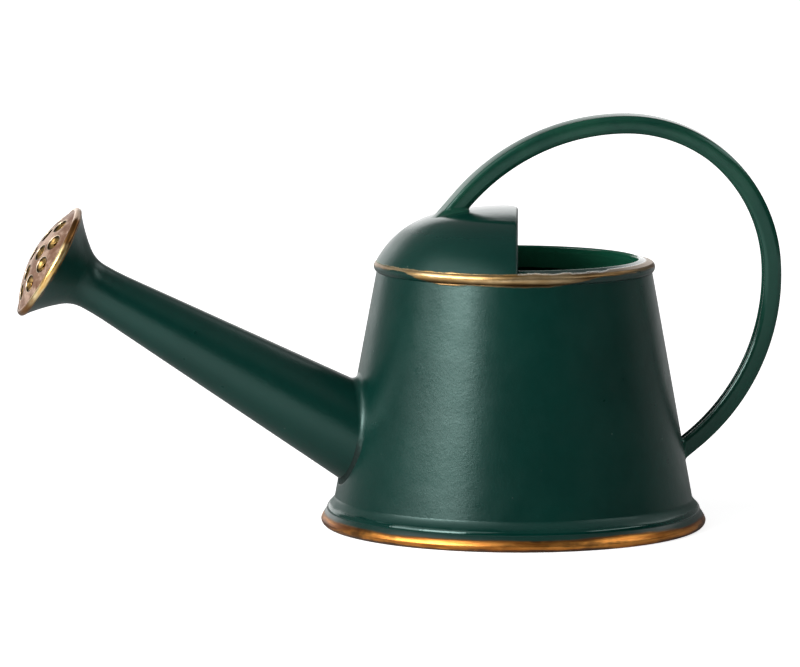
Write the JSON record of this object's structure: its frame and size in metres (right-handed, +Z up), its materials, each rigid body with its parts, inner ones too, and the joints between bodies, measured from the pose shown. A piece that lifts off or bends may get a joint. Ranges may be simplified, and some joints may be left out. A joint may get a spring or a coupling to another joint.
{
  "type": "watering can",
  "caption": "Small ornamental watering can: tapered can on a flared foot, half bonnet over the mouth, straight spout with a trumpet rose, and an arched bar handle.",
  "frame": {"origin": "middle of the foot, on the surface the can stands on", "axes": "+Z up; the spout points along -X and the handle is on +X; XZ is the plane of symmetry"},
  "size_m": [0.0998, 0.05, 0.0533],
  "materials": {
    "green_paint": "dark green enamel, glossy satin",
    "gold_paint": "hand-brushed antique gold over the metal"
  },
  "bodies": {
    "root": {"body_shell": "green_paint", "base_plate": "green_paint", "foot_ring": "gold_paint", "rim_ring": "gold_paint", "bonnet": "green_paint", "spout_tube": "green_paint", "spout_root_fillet": "green_paint", "rose_shell": "green_paint", "rose_lip": "gold_paint", "rose_face": "gold_paint", "handle_hoop": "green_paint", "handle_front_fillet": "green_paint", "handle_rear_fillet": "green_paint"}
  },
  "joints": []
}
